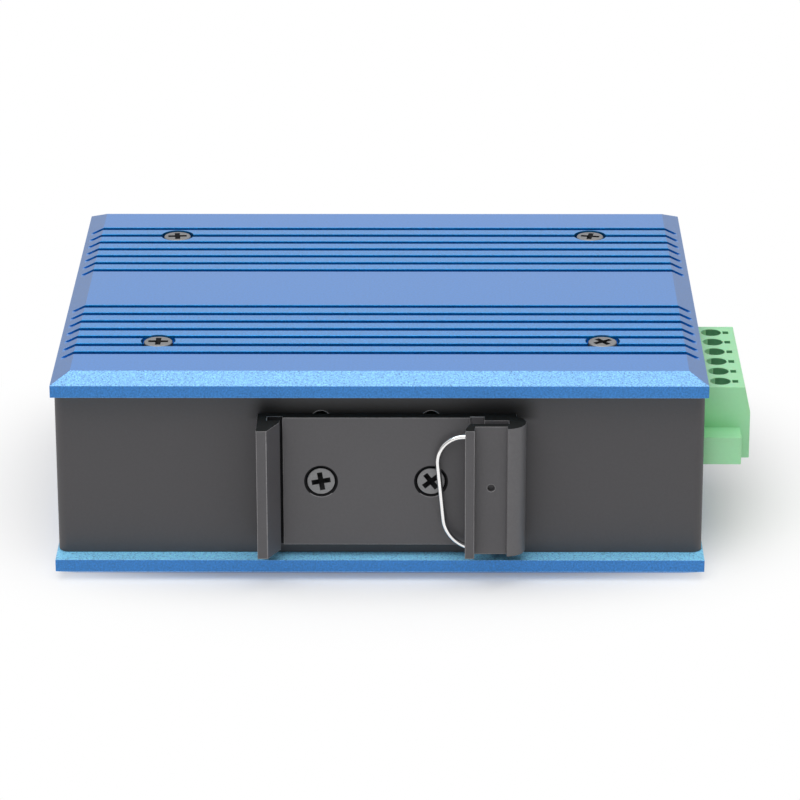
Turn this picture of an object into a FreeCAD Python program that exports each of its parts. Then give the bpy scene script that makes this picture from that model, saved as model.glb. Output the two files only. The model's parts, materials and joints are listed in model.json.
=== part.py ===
import FreeCAD, Part
import math
import os
from FreeCAD import Vector

os.makedirs("parts", exist_ok=True)

# DIN rail ethernet switch, millimetres. It lies on its lower cover: +Z is up through the
# two finned covers, +X ends in the terminal plug, -Y is the wall with the rail clip and +Y
# the wall with the ports. The origin is the middle of the lower cover's outer face.

# ---------------------------------------------------------------- fits and general
touch_gap = 0.05
slip_gap = 0.10
easy_gap = 0.20

# ---------------------------------------------------------------- finned covers
cover_length = 114.0
cover_depth = 94.0
cover_edge_height = 2.2
bevel_rise = 1.6
bevel_run = 3.3
groove_width = 1.4
groove_depth = 1.15
groove_chamfer = 0.08
groove_pitch = 4.07
grooves_per_group = 7
groove_group_offset = 22.3
rib_width = 1.6
rib_height = 1.0

# ---------------------------------------------------------------- housing sheet
housing_height = 30.4
sheet_thickness = 1.2
sheet_bend_radius = 0.6
rear_setback = 3.55
front_setback = 1.45
end_setback = 0.3
panel_tab_length = 9.0

# ---------------------------------------------------------------- pillars and their screws
pillar_end_inset = 17.7
pillar_rear_inset = 18.65
pillar_front_inset = 16.5
pillar_across_flats = 5.5
pillar_bore_depth = 7.0
upper_pillar_length = 17.0
pillar_stud_share = 0.4
thread_diameter = 3.0
screw_clear_hole = 3.4
cover_screw_head_diameter = 4.8
cover_screw_head_height = 1.5
cover_screw_recess_diameter = 6.1
cover_screw_recess_depth = 1.9
cover_screw_grip = 5.0
upper_screw_turns = (0, 5, 35, -10)
lower_screw_turns = (20, 50, -15, 10)

# ---------------------------------------------------------------- cross recess of every screw
recess_span = 3.4
recess_blade = 0.85
recess_depth = 1.2
recess_foot_share = 0.3

# ---------------------------------------------------------------- front panel screws
panel_screw_thread = 2.5
panel_screw_head = 4.4
panel_screw_head_height = 1.0
panel_screw_length = 5.0
panel_screw_inset = 5.0
panel_screw_spacing = 20.0
panel_recess_span = 2.4
panel_recess_depth = 0.9
panel_nut_diameter = 4.6
panel_nut_height = 1.8

# ---------------------------------------------------------------- rail clip
clip_length = 23.9
clip_drop = 0.95
clip_plate_thickness = 2.0
clip_floor_drop = 0.45
clip_plate_left = -16.9
clip_plate_right = 15.8
hook_outer_x = -21.24
hook_tip_width = 1.8
hook_height = 6.6
hook_nose_x = -17.3
hook_nose_height = 2.3
hook_nose_thickness = 1.0
rail_width = 35.0
rail_stop_gap = 0.5
rail_stop_height = 1.3
spring_slot_height = 1.5
spring_slot_end_x = 22.4
cover_strip_height = 1.5
cover_strip_left = 16.6
guide_lip_width = 1.75
guide_lip_height = 6.5
bead_radius = 3.3
bead_centre_x = 22.15
bead_centre_height = 2.1
stake_x = 19.4
stake_diameter = 1.3
stake_depth = 0.9
clip_screw_spacing = 19.2
clip_screw_offset_x = -0.63
clip_screw_head_diameter = 4.8
clip_screw_head_edge = 0.3
clip_screw_countersink = 5.7
clip_screw_head_height = 1.6
clip_screw_length = 6.0
clip_screw_turns = (10, 38)
spare_hole_drop = 4.75
clinch_nut_diameter = 5.6
clinch_nut_height = 2.4

# ---------------------------------------------------------------- clip wire spring
wire_diameter = 0.9
wire_bow_left = 9.6
wire_bow_lean = 2.05
wire_top_inset = 2.9
wire_bottom_inset = 0.15
wire_bow_top_radius = 4.9
wire_bow_bottom_radius = 5.9
wire_back_radius = 1.2
wire_end_gap = 1.0
wire_tilt_deg = 5.0

# ---------------------------------------------------------------- circuit board
board_thickness = 1.6
board_end_gap = 1.0
board_side_gap = 2.0

# ---------------------------------------------------------------- network jacks
jack_pitch = 17.0
jack_row_gap = 0.5
jack_width = 16.0
jack_height = 13.4
jack_depth = 18.0
jack_stand_out = 0.4
shield_thickness = 0.3
socket_width = 11.9
socket_height = 8.2
socket_depth = 13.5
socket_floor = 2.0
latch_width = 6.0
latch_height = 1.3
contact_pitch = 1.02
contact_wire = 0.45
contacts_per_jack = 8
lens_width = 2.6
lens_height = 1.5
lens_depth = 3.0

# ---------------------------------------------------------------- status light pipes
light_pipe_count = 3
light_pipe_pitch = 4.0
light_pipe_diameter = 2.4
light_pipe_inset = 3.5
light_pipe_rise = 5.0
light_pipe_run = 8.0
led_size = 1.6
led_height = 0.8

# ---------------------------------------------------------------- terminal block
pole_count = 6
pole_pitch = 5.08
terminal_rear_inset = 26.35
header_depth = 11.0
header_height = 12.2
header_wall = 1.2
header_back_wall = 1.6
header_flange_width = 4.6
insert_diameter = 3.6
insert_length = 5.0
plug_rise = 0.4
plug_height = 13.4
plug_top_reach = 7.7
plug_full_reach = 8.7
plug_slope_drop = 4.7
plug_end_margin = 0.56
plug_entry_depth = 8.6
ear_width = 5.0
ear_height = 5.1
ear_rise = 0.7
ear_reach = 6.9
flange_screw_thread = 2.5
flange_screw_head = 4.0
flange_screw_head_height = 1.8
driver_hole_diameter = 3.6
driver_hole_reach = 3.5
clamp_head_height = 2.0
clamp_shank_diameter = 2.5
clamp_slot_width = 0.6
clamp_slot_depth = 0.8
cage_length = 5.0
cage_width = 4.1
cage_wire_width = 2.9
cage_floor = 1.0
cage_roof = 1.5
cage_travel = 2.5
plug_floor = 1.0
blade_thickness = 0.8
blade_width = 2.2
blade_reach = 2.0
contact_body_width = 2.4
contact_body_height = 3.4
pin_size = 1.0
pin_reach = 8.8
pin_tail = 3.4
probe_slot_length = 1.0
probe_slot_width = 1.5
probe_slot_depth = 0.6
probe_slot_offset = 2.65

# ---------------------------------------------------------------- board components
switch_chip_size = 14.0
switch_chip_height = 1.4
transformer_length = 12.7
transformer_width = 9.4
transformer_height = 5.8
inductor_size = 12.0
inductor_height = 6.0
capacitor_diameter = 8.0
capacitor_height = 11.5
converter_size = 5.0
converter_height = 1.5
crystal_length = 5.0
crystal_width = 3.2
crystal_height = 1.2
relay_length = 15.0
relay_width = 7.5
relay_height = 10.0
fuse_length = 7.4
fuse_width = 5.1
fuse_height = 3.0
suppressor_length = 5.6
suppressor_width = 3.9
suppressor_height = 2.4
suppressor_count = 3
component_lane = 2.5

# ---------------------------------------------------------------- worked-out places
cover_thickness = cover_edge_height + bevel_rise
upper_cover_base = cover_thickness + housing_height
rear_y = -cover_depth / 2 + rear_setback
front_y = cover_depth / 2 - front_setback
end_x = cover_length / 2 - end_setback
inner_rear_y = rear_y + sheet_thickness
inner_front_y = front_y - sheet_thickness
inner_end_x = end_x - sheet_thickness
pillar_x = cover_length / 2 - pillar_end_inset
pillar_rear_y = -cover_depth / 2 + pillar_rear_inset
pillar_front_y = cover_depth / 2 - pillar_front_inset
pillar_places = [(x, y) for x in (-pillar_x, pillar_x) for y in (pillar_rear_y, pillar_front_y)]
board_top = upper_cover_base - upper_pillar_length
board_bottom = board_top - board_thickness
lower_pillar_height = board_bottom - cover_thickness
clip_centre_z = cover_thickness + housing_height / 2 - clip_drop
terminal_centre_y = rear_y + terminal_rear_inset
bore_diameter = thread_diameter + 2 * touch_gap


def box(x0, x1, y0, y1, z0, z1):
    return Part.makeBox(x1 - x0, y1 - y0, z1 - z0, Vector(x0, y0, z0))


def rod(start, direction, length, diameter):
    return Part.makeCylinder(diameter / 2, length, Vector(*start), Vector(*direction))


def tapered(start, direction, length, diameter_0, diameter_1):
    return Part.makeCone(diameter_0 / 2, diameter_1 / 2, length, Vector(*start), Vector(*direction))


def prism(points, travel):
    corners = [Vector(*p) for p in points]
    return Part.Face(Part.makePolygon(corners + corners[:1])).extrude(Vector(*travel))


def hexagon(x, y, z, height, across_flats):
    radius = across_flats / math.sqrt(3)
    angles = [math.radians(60 * i) for i in range(6)]
    corners = [(x + radius * math.cos(a), y + radius * math.sin(a), z) for a in angles]
    return prism(corners, (0, 0, height))


def cut_all(shape, tools):
    for tool in tools:
        shape = shape.cut(tool)
    return shape


def fuse_all(shapes):
    joined = shapes[0]
    for shape in shapes[1:]:
        joined = joined.fuse(shape)
    return joined.removeSplitter()


def save(name, shapes):
    solids = shapes if isinstance(shapes, list) else [shapes]
    shape = solids[0] if len(solids) == 1 else Part.makeCompound(solids)
    shape.exportStep("parts/" + name + ".step")


def cross_recess(head_top, direction, span, depth, turn_deg):
    """The cross slot of a screw whose head faces along direction, as a tool to cut with."""
    half = span / 2
    blade = recess_blade / 2
    foot = half * recess_foot_share
    z_top = touch_gap
    arm = [(-half, 0, z_top), (half, 0, z_top), (foot, 0, -depth), (-foot, 0, -depth)]
    arm_x = prism(arm, (0, recess_blade, 0))
    arm_x.translate(Vector(0, -blade, 0))
    arm_y = arm_x.copy()
    arm_y.rotate(Vector(0, 0, 0), Vector(0, 0, 1), 90)
    recess = arm_x.fuse(arm_y)
    recess.rotate(Vector(0, 0, 0), Vector(0, 0, 1), turn_deg)
    turn = FreeCAD.Rotation(Vector(0, 0, 1), Vector(*direction))
    recess.Placement = FreeCAD.Placement(Vector(*head_top), turn).multiply(recess.Placement)
    return recess


# ---------------------------------------------------------------- finned covers
def groove_places():
    middle = (grooves_per_group - 1) / 2
    steps = [(i - middle) * groove_pitch for i in range(grooves_per_group)]
    return [side * groove_group_offset + step for side in (-1, 1) for step in steps]


def cover_plate():
    """One cover lying with its inner face on z = 0 and its fins up."""
    half_length = cover_length / 2
    half_depth = cover_depth / 2
    top = cover_thickness
    outline = [
        (-half_length, -half_depth, 0),
        (-half_length, half_depth, 0),
        (-half_length, half_depth, cover_edge_height),
        (-half_length, half_depth - bevel_run, top),
        (-half_length, -half_depth + bevel_run, top),
        (-half_length, -half_depth, cover_edge_height),
    ]
    plate = prism(outline, (cover_length, 0, 0))
    for side in (-1, 1):
        wedge = [
            (side * half_length, -half_depth, cover_edge_height),
            (side * half_length, -half_depth, top + 1),
            (side * (half_length - bevel_run * (1 + 1 / bevel_rise)), -half_depth, top + 1),
        ]
        plate = plate.cut(prism(wedge, (0, cover_depth, 0)))
    lip = groove_width / 2 + groove_chamfer
    for y in groove_places():
        groove = [
            (-half_length, y - lip, top),
            (-half_length, y - groove_width / 2, top - groove_chamfer),
            (-half_length, y - groove_width / 2, top - groove_depth),
            (-half_length, y + groove_width / 2, top - groove_depth),
            (-half_length, y + groove_width / 2, top - groove_chamfer),
            (-half_length, y + lip, top),
        ]
        plate = plate.cut(prism(groove, (cover_length, 0, 0)))
    for x, y in pillar_places:
        plate = plate.cut(rod((x, y, 0), (0, 0, 1), top, screw_clear_hole))
        seat = top - cover_screw_recess_depth
        plate = plate.cut(rod((x, y, seat), (0, 0, 1), cover_screw_recess_depth, cover_screw_recess_diameter))
    return plate.fuse(locating_rib()).removeSplitter()


def locating_rib():
    """The low rib on a cover's inner face that the housing sheet closes round."""
    inset = easy_gap + sheet_thickness
    x = inner_end_x - inset
    y0 = inner_rear_y + easy_gap
    y1 = inner_front_y - easy_gap
    outer = box(-x, x, y0, y1, -rib_height, 0)
    inner = box(-x + rib_width, x - rib_width, y0 + rib_width, y1 - rib_width, -rib_height, 0)
    return outer.cut(inner)


def cover_screw(turn_deg):
    """A cover screw for a cover with its inner face on z = 0, at x = y = 0, head up."""
    seat = cover_thickness - cover_screw_recess_depth
    head_top = seat + cover_screw_head_height
    head = rod((0, 0, seat), (0, 0, 1), cover_screw_head_height, cover_screw_head_diameter)
    rim = [edge for edge in head.Edges if abs(edge.BoundBox.ZMin - head_top) < 0.001 and edge.Closed]
    head = head.makeFillet(0.25, rim[:1])
    shank = rod((0, 0, -cover_screw_grip), (0, 0, 1), seat + cover_screw_grip, thread_diameter)
    recess = cross_recess((0, 0, head_top), (0, 0, 1), recess_span, recess_depth, turn_deg)
    return head.fuse(shank).removeSplitter().cut(recess)


def turned_down(shape):
    return shape.mirror(Vector(0, 0, 0), Vector(0, 0, 1))


def placed(shape, x, y, z):
    copy = shape.copy()
    copy.translate(Vector(x, y, z))
    return copy


save("upper_finned_cover", placed(cover_plate(), 0, 0, upper_cover_base))
save("lower_finned_cover", placed(turned_down(cover_plate()), 0, 0, cover_thickness))
save("upper_cover_screws", [
    placed(cover_screw(turn), x, y, upper_cover_base)
    for (x, y), turn in zip(pillar_places, upper_screw_turns)
])
save("lower_cover_screws", [
    placed(turned_down(cover_screw(turn)), x, y, cover_thickness)
    for (x, y), turn in zip(pillar_places, lower_screw_turns)
])


# ---------------------------------------------------------------- pillars between the covers
def lower_pillar(x, y):
    body = hexagon(x, y, cover_thickness, lower_pillar_height, pillar_across_flats)
    return body.cut(rod((x, y, cover_thickness), (0, 0, 1), lower_pillar_height, bore_diameter))


def upper_pillar(x, y):
    body = hexagon(x, y, board_top, upper_pillar_length, pillar_across_flats)
    stud_length = board_thickness + lower_pillar_height * pillar_stud_share
    stud = rod((x, y, board_top), (0, 0, -1), stud_length, thread_diameter)
    bore = rod((x, y, upper_cover_base), (0, 0, -1), pillar_bore_depth, bore_diameter)
    return body.fuse(stud).removeSplitter().cut(bore)


save("lower_pillars", [lower_pillar(x, y) for x, y in pillar_places])
save("upper_pillars", [upper_pillar(x, y) for x, y in pillar_places])

# ---------------------------------------------------------------- terminal block places
half_poles = pole_count * pole_pitch / 2
pole_places = [terminal_centre_y + (i + 0.5) * pole_pitch - half_poles for i in range(pole_count)]
header_front = end_x
header_back = header_front - header_depth
header_top = board_top + header_height
header_half = half_poles + header_wall + header_flange_width
cavity_half = half_poles + slip_gap
plug_bottom = board_top + plug_rise
plug_top = plug_bottom + plug_height
plug_face = header_front + touch_gap
plug_half = half_poles + plug_end_margin
cage_x = header_front + driver_hole_reach
cage_rest = plug_bottom + plug_floor + touch_gap
cage_window = cage_travel + blade_thickness + 2 * slip_gap
cage_height = cage_floor + cage_window + cage_roof
channel_roof = cage_rest + cage_height + cage_travel + slip_gap
blade_top = cage_rest + cage_floor + cage_window - slip_gap
contact_z = blade_top - blade_thickness / 2
flange_y = plug_half + ear_width / 2
ear_bottom = plug_bottom + ear_rise
flange_z = ear_bottom + ear_height / 2


# ---------------------------------------------------------------- housing sheet
def housing_frame():
    """Rear wall and both ends, folded from one sheet."""
    z0 = cover_thickness
    z1 = upper_cover_base
    outer = box(-end_x, end_x, rear_y, front_y, z0, z1)
    inner = box(-inner_end_x, inner_end_x, inner_rear_y, front_y, z0, z1)
    corners = [e for e in outer.Edges if upright(e) and abs(e.BoundBox.YMin - rear_y) < 0.001]
    outer = outer.makeFillet(sheet_bend_radius + sheet_thickness, corners)
    corners = [e for e in inner.Edges if upright(e) and abs(e.BoundBox.YMin - inner_rear_y) < 0.001]
    inner = inner.makeFillet(sheet_bend_radius, corners)
    frame = outer.cut(inner)
    for x, z in clip_screw_places() + spare_hole_places():
        frame = frame.cut(rod((x, rear_y, z), (0, 1, 0), sheet_thickness, screw_clear_hole))
    for x, y, z, side in panel_screw_places():
        frame = frame.cut(tapered((x, y, z), (-side, 0, 0), panel_screw_head_height,
                                  panel_screw_head + slip_gap, panel_screw_thread + slip_gap))
        frame = frame.cut(rod((x, y, z), (-side, 0, 0), sheet_thickness, panel_screw_thread + slip_gap))
    gate = box(inner_end_x, end_x, terminal_centre_y - header_half - slip_gap,
               terminal_centre_y + header_half + slip_gap, board_top, header_top + slip_gap)
    return frame.cut(gate)


def upright(edge):
    bounds = edge.BoundBox
    return bounds.ZLength > 0.001 and bounds.XLength < 0.001 and bounds.YLength < 0.001


def clip_screw_places():
    return [(clip_screw_offset_x + side * clip_screw_spacing / 2, clip_centre_z) for side in (-1, 1)]


def spare_hole_places():
    spare_z = upper_cover_base - spare_hole_drop
    return [(x, spare_z) for x, _ in clip_screw_places()]


def panel_screw_places():
    middle = cover_thickness + housing_height / 2
    y = inner_front_y - panel_screw_inset
    heights = [middle + step * panel_screw_spacing / 2 for step in (-1, 1)]
    return [(side * end_x, y, z, side) for side in (-1, 1) for z in heights]


def jack_places():
    """As many jacks in a row as the room between the pillars takes."""
    pillar_reach = pillar_across_flats / math.sqrt(3) + jack_row_gap
    count = int(2 * (pillar_x - pillar_reach) // jack_pitch)
    middle = (count - 1) / 2
    return [(i - middle) * jack_pitch for i in range(count)]


def light_pipe_places():
    first = -inner_end_x + light_pipe_inset
    return [first + i * light_pipe_pitch for i in range(light_pipe_count)]


def front_panel():
    """The port wall: a flat face with a tab folded back along the inside of each end."""
    z0 = cover_thickness + touch_gap
    z1 = upper_cover_base - touch_gap
    x = inner_end_x - touch_gap
    y0 = inner_front_y - panel_tab_length
    outer = box(-x, x, y0, front_y, z0, z1)
    inner = box(-x + sheet_thickness, x - sheet_thickness, y0, inner_front_y, z0, z1)
    corners = [e for e in outer.Edges if upright(e) and abs(e.BoundBox.YMin - front_y) < 0.001]
    outer = outer.makeFillet(sheet_bend_radius + sheet_thickness, corners)
    corners = [e for e in inner.Edges if upright(e) and abs(e.BoundBox.YMin - inner_front_y) < 0.001]
    panel = outer.cut(inner.makeFillet(sheet_bend_radius, corners))
    jack_half = jack_width / 2 + easy_gap
    for jack_x in jack_places():
        panel = panel.cut(box(jack_x - jack_half, jack_x + jack_half, inner_front_y, front_y,
                              board_top, board_top + jack_height + easy_gap))
    pipe_hole = light_pipe_diameter + 2 * slip_gap
    pipe_z = board_top + light_pipe_rise
    for pipe_x in light_pipe_places():
        panel = panel.cut(rod((pipe_x, inner_front_y, pipe_z), (0, 1, 0), sheet_thickness, pipe_hole))
    for screw_x, screw_y, screw_z, side in panel_screw_places():
        start = (side * x, screw_y, screw_z)
        panel = panel.cut(rod(start, (-side, 0, 0), sheet_thickness, panel_screw_thread + slip_gap))
    return panel


def panel_screw(x, y, z, side):
    head = tapered((x, y, z), (-side, 0, 0), panel_screw_head_height, panel_screw_head, panel_screw_thread)
    shank = rod((x, y, z), (-side, 0, 0), panel_screw_length, panel_screw_thread)
    recess = cross_recess((x, y, z), (side, 0, 0), panel_recess_span, panel_recess_depth, 0)
    return head.fuse(shank).removeSplitter().cut(recess)


def panel_nut(x, y, z, side):
    seat = side * (inner_end_x - touch_gap - sheet_thickness)
    nut = rod((seat, y, z), (-side, 0, 0), panel_nut_height, panel_nut_diameter)
    return nut.cut(rod((seat, y, z), (-side, 0, 0), panel_nut_height, panel_screw_thread + slip_gap))


save("housing_frame", housing_frame())
save("front_panel", front_panel())
save("front_panel_screws", [panel_screw(*place) for place in panel_screw_places()])
save("front_panel_nuts", [panel_nut(*place) for place in panel_screw_places()])


# ---------------------------------------------------------------- rail clip
def clip_bracket():
    """Extruded bracket: fixed hook at -X, rail stop and spring slot at +X, height h off the wall."""
    t = clip_plate_thickness
    floor = t - clip_floor_drop
    nose_top = t + hook_nose_height
    nose_under = nose_top - hook_nose_thickness
    stop_top = t + rail_stop_height
    slot_top = stop_top + spring_slot_height
    strip_top = slot_top + cover_strip_height
    lip_left = cover_strip_left - guide_lip_width
    lip_top = t + guide_lip_height
    base = [
        (hook_outer_x, 0),
        (bead_centre_x, 0),
        (bead_centre_x, stop_top),
        (rail_stop_x(), stop_top),
        (rail_stop_x(), floor),
        (clip_plate_right, floor),
        (clip_plate_right, t),
        (clip_plate_left, t),
        (clip_plate_left, floor),
        (rail_seat_x(), floor),
        (rail_seat_x(), nose_under),
        (hook_nose_x, nose_under),
        (hook_nose_x, nose_top),
        (hook_outer_x + hook_tip_width, t + hook_height),
        (hook_outer_x, t + hook_height),
    ]
    strip = [
        (bead_centre_x, slot_top),
        (bead_centre_x, strip_top),
        (cover_strip_left, strip_top),
        (cover_strip_left - slip_gap, lip_top),
        (lip_left, lip_top),
        (lip_left, lip_top - guide_lip_width / 2),
        (cover_strip_left - guide_lip_width / 2, slot_top),
    ]
    z0 = clip_centre_z - clip_length / 2
    z1 = z0 + clip_length
    pieces = [prism([(x, rear_y - h, z0) for x, h in half], (0, 0, clip_length)) for half in (base, strip)]
    bead_y = rear_y - t - bead_centre_height
    bead = rod((bead_centre_x, bead_y, z0), (0, 0, 1), clip_length, 2 * bead_radius)
    left_of_bead = box(0, bead_centre_x, rear_y - lip_top, rear_y, z0, z1)
    closed_end = box(bead_centre_x, bead_centre_x + bead_radius / 2, bead_y, rear_y, z0, z1)
    slot = box(0, spring_slot_end_x, rear_y - slot_top, rear_y - stop_top, z0, z1)
    body = fuse_all(pieces + [bead.cut(left_of_bead), closed_end]).cut(slot)
    stake = rod((stake_x, rear_y - strip_top, clip_centre_z), (0, 1, 0), stake_depth, stake_diameter)
    body = body.cut(stake)
    for x, z in clip_screw_places():
        body = body.cut(rod((x, rear_y, z), (0, -1, 0), t, screw_clear_hole))
        sink = tapered((x, rear_y - t, z), (0, 1, 0), clip_screw_head_height,
                       clip_screw_countersink, screw_clear_hole)
        body = body.cut(sink)
    return body


def rail_seat_x():
    """Bottom of the undercut behind the hook's nose, where the rail's lower edge comes to rest."""
    return hook_nose_x - 2.2


def rail_stop_x():
    """Rail stop: the rail can lift this far for its other edge to clear the hook's nose."""
    return hook_nose_x + rail_width + rail_stop_gap


def clip_screw(x, z, turn_deg):
    """A flat-headed screw: its head has a short straight edge above the cone."""
    top = rear_y - clip_plate_thickness + slip_gap
    edge = rod((x, top, z), (0, 1, 0), clip_screw_head_edge, clip_screw_head_diameter)
    cone_height = clip_screw_head_height - clip_screw_head_edge - slip_gap
    cone = tapered((x, top + clip_screw_head_edge, z), (0, 1, 0), cone_height,
                   clip_screw_head_diameter, thread_diameter)
    shank = rod((x, top, z), (0, 1, 0), clip_screw_length, thread_diameter)
    recess = cross_recess((x, top, z), (0, -1, 0), recess_span, recess_depth, turn_deg)
    return fuse_all([edge, cone, shank]).cut(recess)


def clinch_nut(x, z):
    nut = rod((x, inner_rear_y, z), (0, 1, 0), clinch_nut_height, clinch_nut_diameter)
    return nut.cut(rod((x, inner_rear_y, z), (0, 1, 0), clinch_nut_height, bore_diameter))


save("din_clip_bracket", clip_bracket())
save("clip_screws", [
    clip_screw(x, z, turn) for (x, z), turn in zip(clip_screw_places(), clip_screw_turns)
])
save("clip_clinch_nuts", [clinch_nut(x, z) for x, z in clip_screw_places() + spare_hole_places()])


# ---------------------------------------------------------------- clip wire spring
def wire_spring():
    """A bow of round spring wire whose two legs run into the slot of the clip."""
    z_low = clip_centre_z - clip_length / 2 + wire_bottom_inset
    z_high = clip_centre_z + clip_length / 2 - wire_top_inset
    back_x = spring_slot_end_x - wire_diameter / 2 - slip_gap
    corners = [
        (back_x, clip_centre_z - wire_end_gap / 2),
        (back_x, z_low),
        (wire_bow_left + wire_bow_lean, z_low),
        (wire_bow_left, z_high),
        (back_x, z_high),
        (back_x, clip_centre_z + wire_end_gap / 2),
    ]
    radii = [wire_back_radius, wire_bow_bottom_radius, wire_bow_top_radius, wire_back_radius]
    path = rounded_path(corners, radii)
    start = Vector(corners[0][0], 0, corners[0][1])
    section = Part.Wire(Part.makeCircle(wire_diameter / 2, start, Vector(0, 0, 1)))
    spring = path.makePipeShell([section], True, False)
    height = clip_plate_thickness + rail_stop_height + spring_slot_height / 2
    spring.translate(Vector(0, rear_y - height, 0))
    pivot = Vector((cover_strip_left + spring_slot_end_x) / 2, rear_y - height, 0)
    spring.rotate(pivot, Vector(0, 0, 1), -wire_tilt_deg)
    return spring


def rounded_path(corners, radii):
    """Straight runs in the plane y = 0 joined by tangent arcs of the given radii."""
    points = [Vector(x, 0, z) for x, z in corners]
    edges = []
    start = points[0]
    for i, radius in enumerate(radii, 1):
        before = (points[i - 1] - points[i]).normalize()
        after = (points[i + 1] - points[i]).normalize()
        half_angle = before.getAngle(after) / 2
        setback = radius / math.tan(half_angle)
        enter = points[i] + before * setback
        leave = points[i] + after * setback
        bisector = (before + after).normalize()
        centre = points[i] + bisector * (radius / math.sin(half_angle))
        middle = centre - bisector * radius
        edges.append(Part.LineSegment(start, enter).toShape())
        edges.append(Part.Arc(enter, middle, leave).toShape())
        start = leave
    edges.append(Part.LineSegment(start, points[-1]).toShape())
    return Part.Wire(edges)


save("clip_wire_spring", wire_spring())


# ---------------------------------------------------------------- circuit board
board_x = inner_end_x - board_end_gap
board_rear_y = inner_rear_y + board_side_gap + clinch_nut_height
board_front_y = inner_front_y - board_side_gap / 2
pin_tail_x = header_back - pin_size / 2


def circuit_board():
    board = box(-board_x, board_x, board_rear_y, board_front_y, board_bottom, board_top)
    for x, y in pillar_places:
        board = board.cut(rod((x, y, board_bottom), (0, 0, 1), board_thickness, screw_clear_hole))
    for y in pole_places:
        hole = pin_size * math.sqrt(2) + 2 * touch_gap
        board = board.cut(rod((pin_tail_x, y, board_bottom), (0, 0, 1), board_thickness, hole))
    nut_x = inner_end_x - touch_gap - sheet_thickness - panel_nut_height - slip_gap
    notch_y = inner_front_y - panel_tab_length - easy_gap
    notch_right = box(nut_x, inner_end_x, notch_y, inner_front_y, board_bottom, board_top)
    notch_left = box(-inner_end_x, -nut_x, notch_y, inner_front_y, board_bottom, board_top)
    return board.cut(notch_right).cut(notch_left)


save("main_circuit_board", circuit_board())


# ---------------------------------------------------------------- network jacks
jack_front = front_y + jack_stand_out
jack_back = jack_front - jack_depth
socket_base = board_top + shield_thickness + socket_floor


def jack_shield(x):
    """Folded tin-plate can round a jack: roof, sides, back and a rim round the socket."""
    half = jack_width / 2
    can = box(x - half, x + half, jack_back, jack_front, board_top, board_top + jack_height)
    inside = jack_core(x)
    mouth_half = socket_width / 2 + easy_gap
    mouth = box(x - mouth_half, x + mouth_half, jack_front - shield_thickness, jack_front,
                socket_base - easy_gap, socket_base + socket_height + latch_height + easy_gap)
    can = can.cut(inside).cut(mouth)
    for side in (-1, 1):
        can = can.cut(lens_block(x, side))
    return can


def jack_core(x):
    half = jack_width / 2 - shield_thickness
    return box(x - half, x + half, jack_back + shield_thickness, jack_front - shield_thickness,
               board_top, board_top + jack_height - shield_thickness)


def lens_block(x, side):
    centre = x + side * (jack_width / 2 - shield_thickness - lens_width / 2 - touch_gap)
    top = board_top + jack_height - shield_thickness - touch_gap
    return box(centre - lens_width / 2, centre + lens_width / 2, jack_front - lens_depth,
               jack_front, top - lens_height, top)


def jack_insert(x):
    front = jack_front - shield_thickness
    socket = box(x - socket_width / 2, x + socket_width / 2, front - socket_depth, front,
                 socket_base, socket_base + socket_height)
    latch = box(x - latch_width / 2, x + latch_width / 2, front - socket_depth, front,
                socket_base, socket_base + socket_height + latch_height)
    return cut_all(jack_core(x), [socket, latch, lens_block(x, -1), lens_block(x, 1)])


def jack_contact(x):
    """One spring contact: it rises from the socket's floor in front to its back wall."""
    front = jack_front - shield_thickness
    back = front - socket_depth
    toe = front - socket_depth * 0.2
    rise = socket_height * 0.28
    side = [
        (x, toe, socket_base),
        (x, toe - contact_wire, socket_base),
        (x, back, socket_base + rise - contact_wire),
        (x, back, socket_base + rise),
    ]
    contact = prism(side, (contact_wire, 0, 0))
    contact.translate(Vector(-contact_wire / 2, 0, 0))
    return contact


contact_steps = [(i - (contacts_per_jack - 1) / 2) * contact_pitch for i in range(contacts_per_jack)]
for number, x in enumerate(jack_places(), 1):
    save("jack_shield_%d" % number, jack_shield(x))
    save("jack_insert_%d" % number, jack_insert(x))
save("jack_contacts", [jack_contact(x + step) for x in jack_places() for step in contact_steps])
save("jack_lenses", [lens_block(x, side) for x in jack_places() for side in (-1, 1)])


# ---------------------------------------------------------------- status lights
def light_pipes():
    z = board_top + light_pipe_rise
    back = front_y - light_pipe_run
    radius = light_pipe_diameter / 2
    first = light_pipe_places()[0]
    last = light_pipe_places()[-1]
    pieces = [box(first - radius, last + radius, back, back + light_pipe_diameter, z - radius, z + radius)]
    for x in light_pipe_places():
        reach = front_y + jack_stand_out - back - radius
        pieces.append(rod((x, back + radius, z), (0, 1, 0), reach, light_pipe_diameter))
        foot = z - board_top - led_height - slip_gap
        pieces.append(rod((x, back + radius, z), (0, 0, -1), foot, light_pipe_diameter))
    for x in (first + light_pipe_pitch / 2, last - light_pipe_pitch / 2):
        pieces.append(rod((x, back + radius, z), (0, 0, -1), z - board_top, light_pipe_diameter / 2))
    return fuse_all(pieces)


def status_led(x):
    y = front_y - light_pipe_run + light_pipe_diameter / 2
    half = led_size / 2
    return box(x - half, x + half, y - half, y + half, board_top, board_top + led_height)


save("status_light_pipes", light_pipes())
save("status_leds", [status_led(x) for x in light_pipe_places()])


# ---------------------------------------------------------------- terminal header
def both_flanges():
    return [terminal_centre_y - flange_y, terminal_centre_y + flange_y]


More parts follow.
